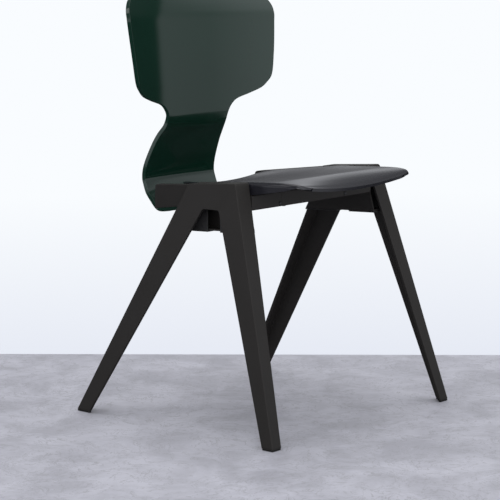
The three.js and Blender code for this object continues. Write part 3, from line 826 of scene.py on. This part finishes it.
def makeConcrete():
    material, tree, shader, place = newMaterial("sealedConcrete")
    cloud, scuff, pore = [addNode(tree, "ShaderNodeTexNoise", inputs=concrete[pattern],
                                  links={"Vector": place}).outputs["Fac"]
                          for pattern in ("clouds", "scuffs", "pores")]
    low, high = concrete["cloudRange"]
    spread = addNode(tree, "ShaderNodeMapRange", inputs={"From Min": low, "From Max": high},
                     links={"Value": cloud})
    clouds = addNode(tree, "ShaderNodeMix", {"data_type": "RGBA"},
                     inputs={"A": linearColour(concrete["base"]),
                             "B": linearColour(concrete["patch"])},
                     links={"Factor": spread.outputs["Result"]})
    # scuffs: thin lines where a second noise passes its middle value
    offset = addNode(tree, "ShaderNodeMath", {"operation": "SUBTRACT"}, links={"Value": scuff})
    offset.inputs[1].default_value = concrete["scuffMiddle"]
    distance = addNode(tree, "ShaderNodeMath", {"operation": "ABSOLUTE"},
                       links={"Value": offset.outputs["Value"]})
    line = addNode(tree, "ShaderNodeMapRange",
                   inputs={"From Max": concrete["scuffWidth"],
                           "To Min": concrete["scuffStrength"], "To Max": 0.0},
                   links={"Value": distance.outputs["Value"]})
    colour = addNode(tree, "ShaderNodeMix", {"data_type": "RGBA"},
                     inputs={"B": linearColour(concrete["scuff"])},
                     links={"Factor": line.outputs["Result"], "A": clouds.outputs["Result"]})
    relief = addNode(tree, "ShaderNodeBump",
                     inputs={"Strength": concrete["bump"], "Distance": concrete["bumpDepth"]},
                     links={"Height": pore})
    # painted shade in reflections: glossy pieces mirror a darker floor than the camera sees, so
    # that their lower faces keep their depth
    path = addNode(tree, "ShaderNodeLightPath")
    shown = addNode(tree, "ShaderNodeMix", {"data_type": "RGBA"},
                    inputs={"B": linearColour(concrete["inGloss"])},
                    links={"Factor": path.outputs["Is Glossy Ray"],
                           "A": colour.outputs["Result"]})
    tree.links.new(shown.outputs["Result"], shader.inputs["Base Color"])
    tree.links.new(relief.outputs["Normal"], shader.inputs["Normal"])
    shader.inputs["Roughness"].default_value = concrete["roughness"]
    return material


def makeFloor():
    start, end = [Vector(point) for point in slab["farEdge"]]
    middle = (start + end) / 2
    along = (end - start).normalized()
    near = Vector((along.y, -along.x, 0)) * slab["near"]
    left = middle - along * slab["left"]
    right = middle + along * slab["right"]
    bm = bmesh.new()
    bm.faces.new([bm.verts.new(corner) for corner in (left, right, right + near, left + near)])
    mesh = bpy.data.meshes.new("floor")
    bm.to_mesh(mesh)
    bm.free()
    mesh.materials.append(makeConcrete())
    floor = bpy.data.objects.new("floor", mesh)
    bpy.context.scene.collection.objects.link(floor)


makeFloor()


# light

# the studio as glossy surfaces see it, by the direction's angle on plan in degrees: a bright
# wall ahead and to the right, a dark flag beyond it, and the dim room behind the camera; the
# low ring stands at the horizon, the middle ring just above it and the high ring overhead
lowRing = [
    (-180, 0.03), (-160, 0.2), (-131, 1.1), (-72, 0.8), (-55, 0.85), (-20, 0.9), (-5, 1.1),
    (9, 1.15), (38, 0.64), (64.5, 0.5), (67, 0.03), (104, 0.03), (120, 0.17), (130, 0.17),
    (134, 0.02), (180, 0.03),
]
middleRing = [
    (-180, 0.14), (-72, 0.3), (-55, 0.85), (-20, 0.9), (-5, 1.1), (9, 1.2), (38, 0.57),
    (64.5, 0.45), (67, 0.06), (100, 0.1), (120, 0.95), (131, 0.95), (135, 0.4), (172, 0.14),
]
highRing = [
    (-180, 0.2), (-72, 0.2), (-40, 0.8), (9, 1.8), (38, 1.05), (64.5, 0.62), (67, 0.12),
    (100, 0.26), (112, 0.28), (172, 0.2),
]

studio = {
    "wall": "#f9fcff",
    "wallFoot": "#e6eaf4",
    # heights here are those of a direction one unit long
    "wallFootHeights": (-0.205, -0.12),
    "middleRingHeights": (0.08, 0.24),
    "highRingHeights": (0.24, 0.46),
    "ringTint": (0.98, 1.0, 1.05),
    "skyTint": (0.97, 0.98, 1.0, 1),
    "skyLevel": 0.66,
}


def addRing(tree, share, tones):
    ring = addNode(tree, "ShaderNodeValToRGB", links={"Fac": share})
    stops = ring.color_ramp.elements
    while len(stops) < len(tones):
        stops.new(0.5)  # its place is set below
    for stop, (degrees, tone) in zip(stops, tones):
        stop.position = (degrees + 180) / 360
        stop.color = (*[tone * part for part in studio["ringTint"]], 1)
    return ring.outputs["Color"]


def makeWorld():
    world = bpy.data.worlds.new("studio")
    bpy.context.scene.world = world
    world.use_nodes = True
    tree = world.node_tree
    tree.nodes.clear()
    direction = addNode(tree, "ShaderNodeTexCoord").outputs["Generated"]
    parts = addNode(tree, "ShaderNodeSeparateXYZ", links={"Vector": direction})
    angle = addNode(tree, "ShaderNodeMath", {"operation": "ARCTAN2"})
    tree.links.new(parts.outputs["Y"], angle.inputs[0])
    tree.links.new(parts.outputs["X"], angle.inputs[1])
    share = addNode(tree, "ShaderNodeMapRange",
                    inputs={"From Min": -math.pi, "From Max": math.pi},
                    links={"Value": angle.outputs["Value"]})
    ringTone = addRing(tree, share.outputs["Result"], lowRing)
    for tones, (foot, top) in ((middleRing, studio["middleRingHeights"]),
                               (highRing, studio["highRingHeights"])):
        lift = addNode(tree, "ShaderNodeMapRange", {"interpolation_type": "SMOOTHSTEP"},
                       inputs={"From Min": foot, "From Max": top},
                       links={"Value": parts.outputs["Z"]})
        mix = addNode(tree, "ShaderNodeMix", {"data_type": "RGBA"},
                      links={"Factor": lift.outputs["Result"], "A": ringTone,
                             "B": addRing(tree, share.outputs["Result"], tones)})
        ringTone = mix.outputs["Result"]
    foot, top = studio["wallFootHeights"]
    wallHeight = addNode(tree, "ShaderNodeMapRange",
                         inputs={"From Min": foot, "From Max": top},
                         links={"Value": parts.outputs["Z"]})
    wallTone = addNode(tree, "ShaderNodeMix", {"data_type": "RGBA"},
                       inputs={"A": linearColour(studio["wallFoot"]),
                               "B": linearColour(studio["wall"])},
                       links={"Factor": wallHeight.outputs["Result"]})
    # diffuse light sees the even sky, glossy surfaces the rings, and the camera the wall
    path = addNode(tree, "ShaderNodeLightPath")
    sky = addNode(tree, "ShaderNodeBackground",
                  inputs={"Color": studio["skyTint"], "Strength": studio["skyLevel"]})
    mirrored = addNode(tree, "ShaderNodeBackground", links={"Color": ringTone})
    wall = addNode(tree, "ShaderNodeBackground", links={"Color": wallTone.outputs["Result"]})
    glossy = addNode(tree, "ShaderNodeMixShader", links={"Fac": path.outputs["Is Glossy Ray"]})
    tree.links.new(sky.outputs[0], glossy.inputs[1])
    tree.links.new(mirrored.outputs[0], glossy.inputs[2])
    seen = addNode(tree, "ShaderNodeMath", {"operation": "MAXIMUM"})
    tree.links.new(path.outputs["Is Camera Ray"], seen.inputs[0])
    tree.links.new(path.outputs["Is Transmission Ray"], seen.inputs[1])
    shown = addNode(tree, "ShaderNodeMixShader", links={"Fac": seen.outputs["Value"]})
    tree.links.new(glossy.outputs[0], shown.inputs[1])
    tree.links.new(wall.outputs[0], shown.inputs[2])
    addNode(tree, "ShaderNodeOutputWorld", links={"Surface": shown.outputs[0]})


makeWorld()

lamps = {
    "overhead": {"place": (-0.3, 0.4, 2.7), "target": (0, 0, 0.3), "size": 1.8, "watts": 16},
    "front": {"place": (1.75, -1.75, 1.5), "target": (0, 0, 0.4), "size": 1.2, "watts": 10},
    "frontLeft": {"place": (-1.2, -2.0, 2.4), "target": (0, 0, 0.4), "size": 1.2, "watts": 8},
}


def addLamp(name, settings):
    lamp = bpy.data.lights.new(name, "AREA")
    lamp.shape = "SQUARE"
    lamp.size = settings["size"]
    lamp.energy = settings["watts"]
    lampObject = bpy.data.objects.new(name, lamp)
    lampObject.location = settings["place"]
    aim = Vector(settings["target"]) - Vector(settings["place"])
    lampObject.rotation_euler = aim.to_track_quat("-Z", "Y").to_euler()
    bpy.context.scene.collection.objects.link(lampObject)


for name, settings in lamps.items():
    addLamp(name, settings)
bpy.context.scene.view_settings.view_transform = "Standard"
print("studio made")
